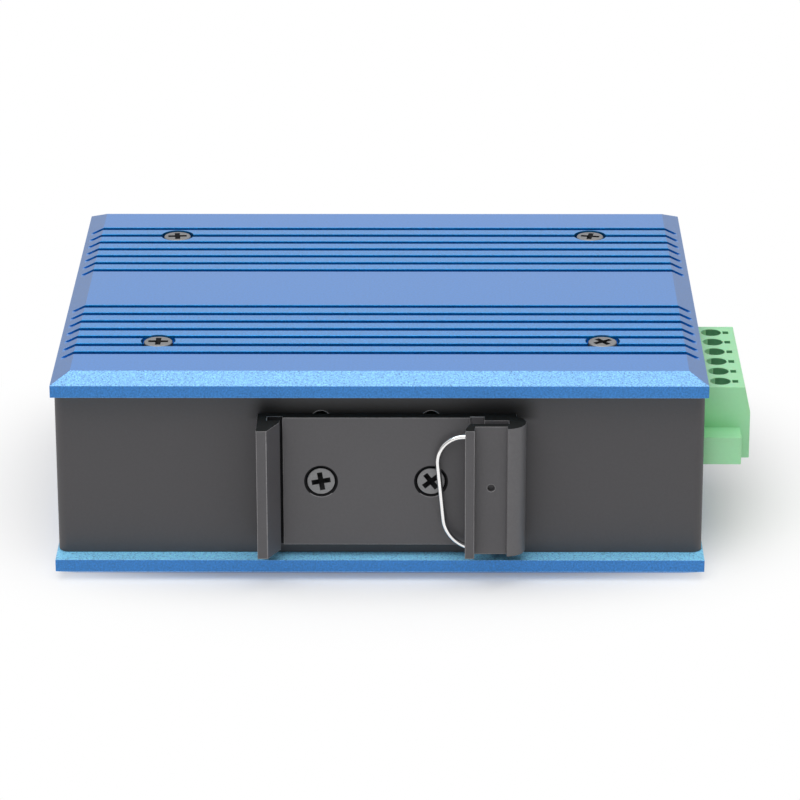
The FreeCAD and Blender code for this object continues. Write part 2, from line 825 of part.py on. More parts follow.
def terminal_header():
    y0 = terminal_centre_y - header_half
    y1 = terminal_centre_y + header_half
    body = box(header_back, header_front, y0, y1, board_top, header_top)
    cavity = box(header_back + header_back_wall, header_front, terminal_centre_y - cavity_half,
                 terminal_centre_y + cavity_half, board_top + header_wall, header_top - header_wall)
    body = body.cut(cavity)
    half = pin_size / 2 + touch_gap
    for y in pole_places:
        body = body.cut(box(header_back, header_back + header_back_wall, y - half, y + half,
                            contact_z - half, contact_z + half))
    for y in both_flanges():
        hole = rod((header_front, y, flange_z), (-1, 0, 0), insert_length, insert_diameter + 2 * touch_gap)
        body = body.cut(hole)
    return body


def header_pin(y):
    half = pin_size / 2
    top = contact_z + half
    bar = box(pin_tail_x - half, header_back + pin_reach, y - half, y + half, contact_z - half, top)
    tail = box(pin_tail_x - half, pin_tail_x + half, y - half, y + half, board_top - pin_tail, top)
    return fuse_all([bar, tail])


def header_insert(y):
    sleeve = rod((header_front, y, flange_z), (-1, 0, 0), insert_length, insert_diameter)
    thread = flange_screw_thread + 2 * touch_gap
    return sleeve.cut(rod((header_front, y, flange_z), (-1, 0, 0), insert_length, thread))


save("terminal_header", terminal_header())
save("header_pins", [header_pin(y) for y in pole_places])
save("header_flange_inserts", [header_insert(y) for y in both_flanges()])


# ---------------------------------------------------------------- terminal plug
def plug_pocket(y):
    """Everything hollow at one pole, as a list of tools."""
    cage_half_x = cage_length / 2 + slip_gap
    cage_half_y = cage_width / 2 + slip_gap
    channel = box(cage_x - cage_half_x, cage_x + cage_half_x, y - cage_half_y, y + cage_half_y,
                  plug_bottom + plug_floor, channel_roof)
    driver = rod((cage_x, y, channel_roof), (0, 0, 1), plug_top - channel_roof, driver_hole_diameter)
    entry_half = cage_wire_width / 2 + slip_gap
    entry_low = cage_rest + cage_floor - easy_gap
    entry_high = blade_top - blade_thickness + easy_gap
    face_x = header_front + plug_full_reach
    entry = box(cage_x, face_x, y - entry_half, y + entry_half, entry_low, entry_high)
    body_half = contact_body_width / 2 + touch_gap
    body_low = contact_z - contact_body_height / 2 - touch_gap
    socket_end = plug_face - plug_entry_depth
    socket = box(socket_end, plug_face, y - body_half, y + body_half,
                 body_low, body_low + contact_body_height + 2 * touch_gap)
    blade_half = blade_width / 2 + touch_gap
    slit = box(plug_face, cage_x, y - blade_half, y + blade_half,
               blade_top - blade_thickness - touch_gap, blade_top + touch_gap)
    slot_x = cage_x + probe_slot_offset
    probe = box(slot_x - probe_slot_length / 2, slot_x + probe_slot_length / 2,
                y - probe_slot_width / 2, y + probe_slot_width / 2, plug_top - probe_slot_depth, plug_top)
    return [channel, driver, entry, socket, slit, probe]


def terminal_plug():
    y0 = terminal_centre_y - plug_half
    top_x = header_front + plug_top_reach
    full_x = header_front + plug_full_reach
    outline = [
        (plug_face, y0, plug_bottom),
        (full_x, y0, plug_bottom),
        (full_x, y0, plug_top - plug_slope_drop),
        (top_x, y0, plug_top),
        (plug_face, y0, plug_top),
    ]
    block = prism(outline, (0, 2 * plug_half, 0))
    ear_y = plug_half + ear_width
    ears = box(plug_face, header_front + ear_reach, terminal_centre_y - ear_y,
               terminal_centre_y + ear_y, ear_bottom, ear_bottom + ear_height)
    nose = box(plug_face - plug_entry_depth, plug_face, terminal_centre_y - half_poles,
               terminal_centre_y + half_poles, board_top + header_wall + slip_gap,
               header_top - header_wall - slip_gap)
    plug = fuse_all([block, ears, nose])
    for y in pole_places:
        plug = cut_all(plug, plug_pocket(y))
    shank_hole = flange_screw_thread + 2 * slip_gap
    head_hole = flange_screw_head + 2 * slip_gap
    seat = header_front + ear_reach - flange_screw_head_height
    for y in both_flanges():
        plug = plug.cut(rod((plug_face, y, flange_z), (1, 0, 0), ear_reach, shank_hole))
        plug = plug.cut(rod((seat, y, flange_z), (1, 0, 0), flange_screw_head_height, head_hole))
    return plug


def plug_contact(y):
    """Fork that grips the header pin, with the flat blade that the wire is clamped to."""
    half = contact_body_width / 2
    start = plug_face - plug_entry_depth
    low = contact_z - contact_body_height / 2
    body = box(start, plug_face, y - half, y + half, low, low + contact_body_height)
    grip = pin_size / 2 + touch_gap
    pin_end = header_back + pin_reach + slip_gap
    gap = box(start, pin_end, y - grip, y + grip, contact_z - grip, contact_z + grip)
    blade = box(plug_face - touch_gap, cage_x + blade_reach, y - blade_width / 2, y + blade_width / 2,
                blade_top - blade_thickness, blade_top)
    return fuse_all([body, blade]).cut(gap)


def flange_screw(y):
    seat = header_front + ear_reach - flange_screw_head_height
    reach = seat - header_front + insert_length - slip_gap
    head = rod((seat, y, flange_z), (1, 0, 0), flange_screw_head_height - easy_gap, flange_screw_head)
    shank = rod((seat, y, flange_z), (-1, 0, 0), reach, flange_screw_thread)
    top = seat + flange_screw_head_height - easy_gap
    slot = box(top - clamp_slot_depth, top, y - flange_screw_head / 2, y + flange_screw_head / 2,
               flange_z - clamp_slot_width / 2, flange_z + clamp_slot_width / 2)
    return head.fuse(shank).removeSplitter().cut(slot)


def clamp_screw(y):
    """Captive clamping screw: its head turns in the driver hole, its tip stands on the blade."""
    foot = blade_top + touch_gap
    seat = channel_roof + touch_gap
    shank = rod((cage_x, y, foot), (0, 0, 1), seat - foot, clamp_shank_diameter)
    head = rod((cage_x, y, seat), (0, 0, 1), clamp_head_height, driver_hole_diameter - 2 * touch_gap)
    top = seat + clamp_head_height
    slot = box(cage_x - driver_hole_diameter / 2, cage_x + driver_hole_diameter / 2,
               y - clamp_slot_width / 2, y + clamp_slot_width / 2, top - clamp_slot_depth, top)
    return shank.fuse(head).removeSplitter().cut(slot)


def clamp_cage(y):
    """Rising cage: a square loop with the screw's thread in its roof."""
    half_x = cage_length / 2
    half_y = cage_width / 2
    loop = box(cage_x - half_x, cage_x + half_x, y - half_y, y + half_y, cage_rest, cage_rest + cage_height)
    wire_half = cage_wire_width / 2
    window = box(cage_x - half_x, cage_x + half_x, y - wire_half, y + wire_half,
                 cage_rest + cage_floor, cage_rest + cage_floor + cage_window)
    bore = rod((cage_x, y, cage_rest + cage_floor + cage_window), (0, 0, 1), cage_roof,
               clamp_shank_diameter + 2 * touch_gap)
    return loop.cut(window).cut(bore)


save("terminal_plug", terminal_plug())
save("plug_contacts", [plug_contact(y) for y in pole_places])
save("plug_flange_screws", [flange_screw(y) for y in both_flanges()])
for number, y in enumerate(pole_places, 1):
    save("clamp_screw_%d" % number, clamp_screw(y))
    save("clamp_cage_%d" % number, clamp_cage(y))


# ---------------------------------------------------------------- board components
def on_board(x, y, length, width, height):
    return box(x - length / 2, x + length / 2, y - width / 2, y + width / 2, board_top, board_top + height)


def board_can(x, y, diameter, height):
    return rod((x, y, board_top), (0, 0, 1), height, diameter)


transformer_y = jack_back - component_lane - transformer_width / 2
chip_y = transformer_y - transformer_width / 2 - 2 * component_lane - switch_chip_size / 2
inductor_y = chip_y - component_lane
capacitor_y = inductor_y - inductor_size / 2 - component_lane - capacitor_diameter / 2
relay_x = -pillar_x + pillar_across_flats + component_lane + relay_length / 2
suppressor_x = header_back - component_lane - suppressor_length / 2
power_x = suppressor_x - suppressor_length / 2 - 2 * component_lane - capacitor_diameter

capacitor_step = (capacitor_diameter + component_lane) / 2
converter_x = power_x - inductor_size / 2 - component_lane - converter_size / 2
chip_x = converter_x - converter_size / 2 - 2 * component_lane - switch_chip_size / 2
crystal_x = chip_x - switch_chip_size / 2 - component_lane - crystal_length / 2
relay_y = chip_y - switch_chip_size / 2 - 2 * component_lane - relay_width / 2
fuse_x = suppressor_x - component_lane
fuse_y = terminal_centre_y + header_half + component_lane
suppressor_y = pillar_rear_y + pillar_across_flats
suppressor_step = suppressor_width + component_lane

save("switch_chip", on_board(chip_x, chip_y, switch_chip_size, switch_chip_size, switch_chip_height))
save("port_transformers", [
    on_board(x, transformer_y, transformer_length, transformer_width, transformer_height)
    for x in jack_places()
])
save("power_inductor", on_board(power_x, inductor_y, inductor_size, inductor_size, inductor_height))
save("input_capacitors", [
    board_can(power_x + side * capacitor_step, capacitor_y, capacitor_diameter, capacitor_height)
    for side in (-1, 1)
])
save("converter_chip", on_board(converter_x, inductor_y, converter_size, converter_size, converter_height))
save("crystal", on_board(crystal_x, chip_y, crystal_length, crystal_width, crystal_height))
save("fault_relay", on_board(relay_x, relay_y, relay_length, relay_width, relay_height))
save("input_fuse", on_board(fuse_x, fuse_y, fuse_length, fuse_width, fuse_height))
suppressor_places = [suppressor_y + i * suppressor_step for i in range(suppressor_count)]
save("surge_suppressors", [
    on_board(suppressor_x, y, suppressor_length, suppressor_width, suppressor_height)
    for y in suppressor_places
])
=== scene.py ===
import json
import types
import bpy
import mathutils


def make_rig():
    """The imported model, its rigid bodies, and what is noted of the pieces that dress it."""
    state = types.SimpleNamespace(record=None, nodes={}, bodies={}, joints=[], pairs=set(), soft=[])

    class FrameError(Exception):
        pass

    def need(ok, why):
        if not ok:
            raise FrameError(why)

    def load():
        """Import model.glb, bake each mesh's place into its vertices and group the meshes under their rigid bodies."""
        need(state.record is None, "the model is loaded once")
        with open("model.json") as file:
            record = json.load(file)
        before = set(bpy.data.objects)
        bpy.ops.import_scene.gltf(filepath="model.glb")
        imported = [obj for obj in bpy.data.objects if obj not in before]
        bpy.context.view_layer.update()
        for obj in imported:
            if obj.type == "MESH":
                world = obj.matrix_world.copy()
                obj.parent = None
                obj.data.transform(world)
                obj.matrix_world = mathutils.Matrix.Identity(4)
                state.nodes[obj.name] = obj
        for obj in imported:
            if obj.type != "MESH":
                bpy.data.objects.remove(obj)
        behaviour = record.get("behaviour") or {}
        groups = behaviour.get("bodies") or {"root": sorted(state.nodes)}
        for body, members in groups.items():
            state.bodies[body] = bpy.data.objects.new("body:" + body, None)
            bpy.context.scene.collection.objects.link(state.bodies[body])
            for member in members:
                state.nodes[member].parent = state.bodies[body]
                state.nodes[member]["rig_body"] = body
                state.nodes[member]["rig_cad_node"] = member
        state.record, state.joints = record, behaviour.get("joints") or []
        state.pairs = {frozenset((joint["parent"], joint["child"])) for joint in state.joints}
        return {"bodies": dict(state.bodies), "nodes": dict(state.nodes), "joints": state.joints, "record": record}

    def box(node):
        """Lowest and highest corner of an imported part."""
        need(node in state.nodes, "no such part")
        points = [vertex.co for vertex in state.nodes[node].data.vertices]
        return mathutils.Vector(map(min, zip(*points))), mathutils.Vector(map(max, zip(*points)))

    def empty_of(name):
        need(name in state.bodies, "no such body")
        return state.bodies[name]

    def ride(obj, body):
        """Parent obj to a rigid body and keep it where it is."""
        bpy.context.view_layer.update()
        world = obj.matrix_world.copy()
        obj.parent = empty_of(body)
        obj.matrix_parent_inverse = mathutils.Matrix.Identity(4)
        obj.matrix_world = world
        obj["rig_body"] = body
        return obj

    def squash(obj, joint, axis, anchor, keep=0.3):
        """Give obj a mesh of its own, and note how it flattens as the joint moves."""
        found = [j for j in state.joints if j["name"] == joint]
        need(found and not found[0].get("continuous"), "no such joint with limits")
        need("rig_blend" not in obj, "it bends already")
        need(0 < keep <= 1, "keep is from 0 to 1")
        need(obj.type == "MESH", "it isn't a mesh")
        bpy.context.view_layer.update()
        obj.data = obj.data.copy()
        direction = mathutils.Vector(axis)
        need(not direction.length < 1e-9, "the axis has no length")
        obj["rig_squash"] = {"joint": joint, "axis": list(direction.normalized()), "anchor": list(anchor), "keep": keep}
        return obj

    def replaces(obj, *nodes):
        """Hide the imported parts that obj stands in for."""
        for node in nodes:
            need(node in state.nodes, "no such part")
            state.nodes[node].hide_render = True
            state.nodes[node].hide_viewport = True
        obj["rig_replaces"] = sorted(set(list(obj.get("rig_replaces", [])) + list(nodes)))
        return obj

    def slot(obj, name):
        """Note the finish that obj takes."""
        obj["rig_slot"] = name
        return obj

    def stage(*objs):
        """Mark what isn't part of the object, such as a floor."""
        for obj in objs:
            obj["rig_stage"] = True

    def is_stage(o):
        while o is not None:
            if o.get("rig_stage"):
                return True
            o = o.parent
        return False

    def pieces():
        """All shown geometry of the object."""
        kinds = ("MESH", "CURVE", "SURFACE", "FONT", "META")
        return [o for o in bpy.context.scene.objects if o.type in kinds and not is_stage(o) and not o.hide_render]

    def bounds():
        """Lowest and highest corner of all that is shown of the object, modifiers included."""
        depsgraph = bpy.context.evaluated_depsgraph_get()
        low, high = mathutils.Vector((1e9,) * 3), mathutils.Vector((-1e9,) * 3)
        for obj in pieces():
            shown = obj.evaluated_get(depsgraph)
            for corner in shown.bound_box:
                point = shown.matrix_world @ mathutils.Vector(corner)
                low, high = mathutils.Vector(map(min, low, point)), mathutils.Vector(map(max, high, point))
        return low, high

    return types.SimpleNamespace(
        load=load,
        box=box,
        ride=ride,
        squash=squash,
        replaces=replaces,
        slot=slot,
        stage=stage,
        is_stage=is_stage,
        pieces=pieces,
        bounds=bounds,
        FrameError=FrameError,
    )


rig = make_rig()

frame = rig.load()
solid_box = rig.bounds()

import json
import math

import bmesh
import bpy
from mathutils import Euler, Matrix, Vector

# ---------------------------------------------------------------------------
# The studio: a pale floor under a broad overhead lamp, in a white room that is
# dimmer on the side where the viewer stands. The camera looks down on the rail
# clip side from some twenty degrees.
# ---------------------------------------------------------------------------
camera_place = (0.008063, -0.69742, 0.280459)
camera_dips = 20.763
camera_turns = 0.394
camera_rolls = -0.097
camera_data = bpy.data.cameras.new("camera")
camera_data.lens = 181.06
camera_data.sensor_width = 36.0
camera_data.clip_start = 0.01
camera = bpy.data.objects.new("camera", camera_data)
camera.location = camera_place
facing = Euler((math.radians(90 - camera_dips), 0, math.radians(camera_turns))).to_matrix()
roll = Matrix.Rotation(math.radians(camera_rolls), 3, "Z")
camera.rotation_euler = (facing @ roll).to_euler()
bpy.context.scene.collection.objects.link(camera)
bpy.context.scene.camera = camera
bpy.context.scene.view_settings.view_transform = "Standard"


def math_value(tree, operation, first, second, clamp=False):
    """The result of a math node on two values, each a socket or a plain number."""
    node = tree.nodes.new("ShaderNodeMath")
    node.operation = operation
    node.use_clamp = clamp
    for socket, value in zip(node.inputs, (first, second)):
        if isinstance(value, (int, float)):
            socket.default_value = value
        else:
            tree.links.new(value, socket)
    return node.outputs[0]


def ramp(tree, value, start, end, least, most, smooth=False):
    """A value that goes from least, where value is start, to most, where it is end."""
    node = tree.nodes.new("ShaderNodeMapRange")
    node.interpolation_type = "SMOOTHSTEP" if smooth else "LINEAR"
    node.inputs["From Min"].default_value = start
    node.inputs["From Max"].default_value = end
    node.inputs["To Min"].default_value = least
    node.inputs["To Max"].default_value = most
    tree.links.new(value, node.inputs["Value"])
    return node.outputs["Result"]


def white_where_seen(tree, level):
    """A value, 1 for what the eye, a reflection or glass sees and level for plain lighting,
    and the light path that it comes from."""
    path = tree.nodes.new("ShaderNodeLightPath")
    seen = math_value(tree, "MAXIMUM", path.outputs["Is Camera Ray"],
                      path.outputs["Is Transmission Ray"])
    seen = math_value(tree, "MAXIMUM", seen, path.outputs["Is Glossy Ray"])
    return ramp(tree, seen, 0.0, 1.0, level, 1.0), path


room_light = 0.3
viewer_side = (-0.9, 0.3)
viewer_side_level = 0.5
low_band = (0.12, 0.38)
low_band_level = 0.58
world = bpy.data.worlds.new("room")
world.use_nodes = True
bpy.context.scene.world = world
tree = world.node_tree
strength, path = white_where_seen(tree, room_light)
place = tree.nodes.new("ShaderNodeTexCoord")
split = tree.nodes.new("ShaderNodeSeparateXYZ")
tree.links.new(place.outputs["Generated"], split.inputs["Vector"])
front_dim = ramp(tree, split.outputs["Y"], *viewer_side, viewer_side_level, 1.0)
low_dim = ramp(tree, split.outputs["Z"], *low_band, low_band_level, 1.0)
glossy_level = tree.nodes.new("ShaderNodeMix")
glossy_level.data_type = "FLOAT"
glossy_level.inputs["A"].default_value = 1.0
tree.links.new(path.outputs["Is Glossy Ray"], glossy_level.inputs["Factor"])
tree.links.new(math_value(tree, "MULTIPLY", front_dim, low_dim), glossy_level.inputs["B"])
background = tree.nodes["Background"]
background.inputs["Color"].default_value = (1, 1, 1, 1)
tree.links.new(math_value(tree, "MULTIPLY", strength, glossy_level.outputs["Result"]),
               background.inputs["Strength"])


def soft_lamp(name, size, energy, place, aim):
    """A square lamp at place that faces the point aim."""
    lamp_data = bpy.data.lights.new(name, "AREA")
    lamp_data.shape = "SQUARE"
    lamp_data.size = size
    lamp_data.energy = energy
    lamp = bpy.data.objects.new(name, lamp_data)
    lamp.location = place
    lamp.rotation_euler = (Vector(place) - Vector(aim)).to_track_quat("Z", "Y").to_euler()
    bpy.context.scene.collection.objects.link(lamp)


soft_lamp("overhead_lamp", size=0.9, energy=4.95, place=(-0.05, -0.15, 0.75), aim=(0, 0, 0))
soft_lamp("front_lamp", size=0.5, energy=1.2, place=(-0.2, -0.6, 0.55), aim=(0, 0, 0.02))

floor_size = 4.0
floor_gap = 0.0002
floor_tone = 0.97
shadow_half_length = 0.068
shadow_half_depth = 0.055
shadow_fade = (0.85, 1.45)
glow_near_object = 0.2
bpy.ops.object.select_all(action="DESELECT")
bpy.ops.mesh.primitive_plane_add(size=floor_size, location=(0, 0, -floor_gap))
floor = bpy.context.object
floor.name = "floor"
floor_material = bpy.data.materials.new("pale_floor")
floor_material.use_nodes = True
tree = floor_material.node_tree
tree.nodes.clear()
matt = tree.nodes.new("ShaderNodeBsdfDiffuse")
matt.inputs["Color"].default_value = (floor_tone, floor_tone, floor_tone, 1)
glow = tree.nodes.new("ShaderNodeEmission")
glow.inputs["Strength"].default_value = 1.0
share = white_where_seen(tree, 0.0)[0]
place = tree.nodes.new("ShaderNodeTexCoord")
footprint = tree.nodes.new("ShaderNodeMapping")
footprint.inputs["Scale"].default_value = (1 / shadow_half_length, 1 / shadow_half_depth, 0)
tree.links.new(place.outputs["Object"], footprint.inputs["Vector"])
away = tree.nodes.new("ShaderNodeVectorMath")
away.operation = "LENGTH"
tree.links.new(footprint.outputs["Vector"], away.inputs[0])
clearing = ramp(tree, away.outputs["Value"], *shadow_fade, glow_near_object, 1.0, smooth=True)
blend = tree.nodes.new("ShaderNodeMixShader")
tree.links.new(math_value(tree, "MULTIPLY", share, clearing), blend.inputs["Fac"])
tree.links.new(matt.outputs[0], blend.inputs[1])
tree.links.new(glow.outputs[0], blend.inputs[2])
surface = tree.nodes.new("ShaderNodeOutputMaterial")
tree.links.new(blend.outputs[0], surface.inputs["Surface"])
floor.data.materials.append(floor_material)
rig.stage(floor)


# ---------------------------------------------------------------------------
# Covers: two finned plates of aluminium, extruded, milled at the ends, bead
# blasted and anodised blue. They close the case above and below.
# ---------------------------------------------------------------------------
def alone(piece):
    """Leaves piece as the only selected object."""
    bpy.ops.object.select_all(action="DESELECT")
    piece.select_set(True)
    bpy.context.view_layer.objects.active = piece


def join_triangles():
    """Merges the active object's loose triangles, and joins those in one plane into quads."""
    same_place = 0.000002
    flatness = math.radians(0.5)
    squareness = math.radians(40)
    bpy.ops.object.mode_set(mode="EDIT")
    bpy.ops.mesh.select_all(action="SELECT")
    bpy.ops.mesh.remove_doubles(threshold=same_place)
    bpy.ops.mesh.tris_convert_to_quads(face_threshold=flatness, shape_threshold=squareness)
    bpy.ops.mesh.customdata_custom_splitnormals_clear()
    bpy.ops.object.mode_set(mode="OBJECT")


def break_edges(piece, edge, sharp, edge_coat, box):
    """Bevels the outer edges sharper than sharp degrees, and keeps the piece inside its box."""
    bevel_steps = 2
    shape = bmesh.new()
    shape.from_mesh(piece.data)
    weights = shape.edges.layers.float.new("bevel_weight_edge")
    for line in shape.edges:
        if line.is_convex and line.calc_face_angle() > math.radians(sharp):
            line[weights] = 1.0
    shape.to_mesh(piece.data)
    shape.free()
    rounding = piece.modifiers.new("edges", "BEVEL")
    rounding.limit_method = "WEIGHT"
    rounding.width = edge
    rounding.segments = bevel_steps
    rounding.use_clamp_overlap = False
    rounding.loop_slide = False
    if edge_coat:
        piece.data.materials.append(edge_coat)
        rounding.material = 1
    bpy.ops.object.modifier_apply(modifier=rounding.name)
    low, high = box
    for corner in piece.data.vertices:
        corner.co = [min(max(value, least), most)
                     for value, least, most in zip(corner.co, low, high)]


def finished_copy(node, slot, coat, edge=0.0001, sharp=35, edge_coat=None):
    """A copy of a solid in its finish, its triangles joined and its sharp outer edges broken."""
    source = frame["nodes"][node]
    piece = bpy.data.objects.new(node + "_finished", source.data.copy())
    bpy.context.scene.collection.objects.link(piece)
    piece.data.materials.clear()
    piece.data.materials.append(coat)
    alone(piece)
    join_triangles()
    if edge:
        break_edges(piece, edge, sharp, edge_coat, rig.box(node))
    bpy.ops.object.shade_smooth_by_angle(angle=math.radians(sharp))
    flats = piece.modifiers.new("flats", "WEIGHTED_NORMAL")
    flats.weight = 100
    flats.keep_sharp = True
    bpy.ops.object.modifier_apply(modifier=flats.name)
    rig.ride(piece, source["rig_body"])
    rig.replaces(piece, node)
    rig.slot(piece, slot)
    return piece


def noise(tree, place, scale, detail, roughness):
    """The strength of a noise pattern at place."""
    pattern = tree.nodes.new("ShaderNodeTexNoise")
    pattern.inputs["Detail"].default_value = detail
    pattern.inputs["Roughness"].default_value = roughness
    tree.links.new(place, pattern.inputs["Vector"])
    tree.links.new(scale, pattern.inputs["Scale"])
    return pattern.outputs["Fac"]


def fine_texture_group():
    """Fine grain, specks and slow drift of tone, for any finish: colour, roughness and height."""
    group = bpy.data.node_groups.new("fine_texture", "ShaderNodeTree")
    face = group.interface
    face.new_socket("Color", in_out="INPUT", socket_type="NodeSocketColor")
    for name in ("Grain Scale", "Drift Scale", "Speck", "Drift", "Roughness", "Spread"):
        face.new_socket(name, in_out="INPUT", socket_type="NodeSocketFloat")
    face.new_socket("Color", in_out="OUTPUT", socket_type="NodeSocketColor")
    face.new_socket("Roughness", in_out="OUTPUT", socket_type="NodeSocketFloat")
    face.new_socket("Height", in_out="OUTPUT", socket_type="NodeSocketFloat")
    given = group.nodes.new("NodeGroupInput")
    result = group.nodes.new("NodeGroupOutput")
    place = group.nodes.new("ShaderNodeTexCoord").outputs["Object"]
    grain = noise(group, place, given.outputs["Grain Scale"], detail=2.0, roughness=0.6)
    drift = noise(group, place, given.outputs["Drift Scale"], detail=4.0, roughness=0.55)
    fine = math_value(group, "SUBTRACT", grain, 0.5)
    slow = math_value(group, "SUBTRACT", drift, 0.5)
    specks = math_value(group, "MULTIPLY", fine, given.outputs["Speck"])
    specks = math_value(group, "MULTIPLY", specks, 2.0)
    clouds = math_value(group, "MULTIPLY", slow, given.outputs["Drift"])
    clouds = math_value(group, "MULTIPLY", clouds, 2.0)
    gain = math_value(group, "ADD", math_value(group, "ADD", specks, clouds), 1.0)
    tone = group.nodes.new("ShaderNodeVectorMath")
    tone.operation = "SCALE"
    group.links.new(given.outputs["Color"], tone.inputs[0])
    group.links.new(gain, tone.inputs["Scale"])
    group.links.new(tone.outputs[0], result.inputs["Color"])
    mixed = math_value(group, "ADD", slow, math_value(group, "MULTIPLY", fine, 0.5))
    change = math_value(group, "MULTIPLY", mixed, given.outputs["Spread"])
    rough = math_value(group, "ADD", given.outputs["Roughness"], change, clamp=True)
    group.links.new(rough, result.inputs["Roughness"])
    group.links.new(grain, result.inputs["Height"])
    return group


fine_texture = fine_texture_group()


def finish(name, colour, metallic, roughness, grain=0.0004, height=0.00001, speck=0.05,
           drift=0.04, drift_size=0.02, spread=0.12, coat=0.0, coat_roughness=0.3,
           subsurface=0.0, clear=0.0, gloss=0.5):
    """A material of one colour with its gloss, grain and slow variation, lengths in metres."""
    material = bpy.data.materials.new(name)
    material.use_nodes = True
    tree = material.node_tree
    shader = tree.nodes["Principled BSDF"]
    shader.inputs["Metallic"].default_value = metallic
    shader.inputs["Coat Weight"].default_value = coat
    shader.inputs["Coat Roughness"].default_value = coat_roughness
    shader.inputs["Subsurface Weight"].default_value = subsurface
    shader.inputs["Subsurface Scale"].default_value = 0.001
    shader.inputs["Transmission Weight"].default_value = clear
    shader.inputs["Specular IOR Level"].default_value = gloss
    texture = tree.nodes.new("ShaderNodeGroup")
    texture.node_tree = fine_texture
    texture.inputs["Color"].default_value = (*colour, 1)
    texture.inputs["Grain Scale"].default_value = 1 / grain
    texture.inputs["Drift Scale"].default_value = 1 / drift_size
    texture.inputs["Speck"].default_value = speck
    texture.inputs["Drift"].default_value = drift
    texture.inputs["Roughness"].default_value = roughness
    texture.inputs["Spread"].default_value = spread
    tree.links.new(texture.outputs["Color"], shader.inputs["Base Color"])
    tree.links.new(texture.outputs["Roughness"], shader.inputs["Roughness"])
    relief = tree.nodes.new("ShaderNodeBump")
    relief.inputs["Distance"].default_value = height
    tree.links.new(texture.outputs["Height"], relief.inputs["Height"])
    tree.links.new(relief.outputs["Normal"], shader.inputs["Normal"])
    return material


def anodised(name, colour, metallic, roughness, **texture):
    """A blue finish of the covers, with the slow drift of tone that all of them share."""
    return finish(name, colour, metallic, roughness, drift=0.04, drift_size=0.05, **texture)


def repaint(piece, coat, chosen):
    """Gives the faces that chosen picks another finish."""
    piece.data.materials.append(coat)
    for face in piece.data.polygons:
        if chosen(face):
            face.material_index = len(piece.data.materials) - 1


def tilt(face):
    """1 for a face that lies level, 0 for one that stands upright."""
    return abs(face.normal.z)


nearly_level = 0.9
half_level = 0.5
nearly_upright = 0.3
blue_flats = anodised("blue_flats", (0.022, 0.222, 0.65), 1.0, 0.4, grain=0.0004,
                      height=0.00002, speck=0.25, spread=0.1, coat=0.9, coat_roughness=0.3)
blue_fins = anodised("blue_fins", (0.005, 0.25, 0.68), 1.0, 0.4, grain=0.0003,
                     height=0.00002, speck=0.6, spread=0.1, coat=0.8, coat_roughness=0.3)
blue_grooves_painted_shade = anodised("blue_grooves_painted_shade", (0.003, 0.19, 0.46), 1.0, 0.5, grain=0.0003,
                        height=0.00002, speck=0.6, spread=0.1, coat=0.3, coat_roughness=0.4)
blue_ends = anodised("blue_ends", (0.028, 0.18, 0.52), 1.0, 0.4, grain=0.0004,
                     height=0.00002, speck=0.25, spread=0.1, coat=0.9, coat_roughness=0.3)
blue_edge = anodised("blue_edge", (0.035, 0.22, 0.58), 1.0, 0.5, grain=0.00032,
                     height=0.00003, speck=0.6, spread=0.15, coat=0.8, coat_roughness=0.4)
blue_blasted = anodised("blue_blasted", (0.17, 0.42, 0.79), 0.35, 0.5, grain=0.00028,
                        height=0.00005, speck=1.2, spread=0.15, coat=0.3, coat_roughness=0.4)
blue_inside_painted_light = anodised("blue_inside_painted_light", (0.26, 0.68, 1.0), 0.0, 0.5, grain=0.00028,
                       height=0.00005, speck=1.0, spread=0.15)
cover_edge = 0.00005
cover_sharp = 24
bevel_reach = 0.0034
fin_side_depth = 0.003
groove_lip = 0.00001
groove_group_middle = 0.0223
groove_group_half = 0.0133
fin_top_half = 0.0535
end_slope_lean = (0.3, 0.6)
end_slope_level = 0.8
for node in ("lower_finned_cover", "upper_finned_cover"):
    cover = finished_copy(node, "blue_cover", blue_flats, edge=cover_edge, sharp=cover_sharp)
    low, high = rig.box(node)
    outer_z = low[2] if node == "lower_finned_cover" else high[2]
    middle_y = (low[1] + high[1]) / 2

    def sunk(face):
        return abs(face.center.z - outer_z)

    def on_rim(face, reach):
        return min(high[1] - face.center.y, face.center.y - low[1]) < reach

    def on_fins(face):
        place = abs(face.center.y - middle_y)
        return abs(place - groove_group_middle) < groove_group_half

    def in_groove(face):
        return groove_lip < sunk(face) < fin_side_depth and tilt(face) < nearly_level

    def on_end_slope(face):
        leans = end_slope_lean[0] < abs(face.normal.x) < end_slope_lean[1]
        return leans and tilt(face) > end_slope_level

    repaint(cover, blue_fins, lambda face: on_fins(face) and sunk(face) < groove_lip)
    # painted shade: the groove walls take a darker copy of the fin blue
    repaint(cover, blue_grooves_painted_shade, lambda face:
            on_fins(face) and in_groove(face) and abs(face.center.x) < fin_top_half)
    repaint(cover, blue_ends, lambda face:
            abs(face.center.x) > fin_top_half and on_end_slope(face))
    repaint(cover, blue_blasted, lambda face: on_rim(face, bevel_reach))
    # painted light: the inner faces, the ledge among them, take a lighter blue that lifts them out of their shade
    repaint(cover, blue_inside_painted_light, lambda face:
            sunk(face) > fin_side_depth and tilt(face) > half_level)
    repaint(cover, blue_edge, lambda face:
            on_rim(face, cover_edge) and tilt(face) < nearly_upright)

# ---------------------------------------------------------------------------
# Cover screws: eight pan-head machine screws of blackened steel, four through
# each cover into the pillars, sunk in the counterbores until nearly flush.
# ---------------------------------------------------------------------------
blackened_steel = finish("blackened_steel", (0.24, 0.24, 0.245), 0.8, 0.5, grain=0.00025,
                         height=0.000008, speck=0.25, drift=0.2, drift_size=0.003, spread=0.2)
recess_painted_shade = finish("recess_painted_shade", (0.008, 0.008, 0.009), 0.0, 0.7, grain=0.0002,
                      height=0.00001, speck=0.3, drift=0.2, drift_size=0.002, spread=0.2,
                      gloss=0.15)
screw_edge = 0.00008
cover_screw_head = 0.0048
recess_reach = 0.0019
recess_depth = 0.0013
head_lift = 0.0003
head_swell = 1.06


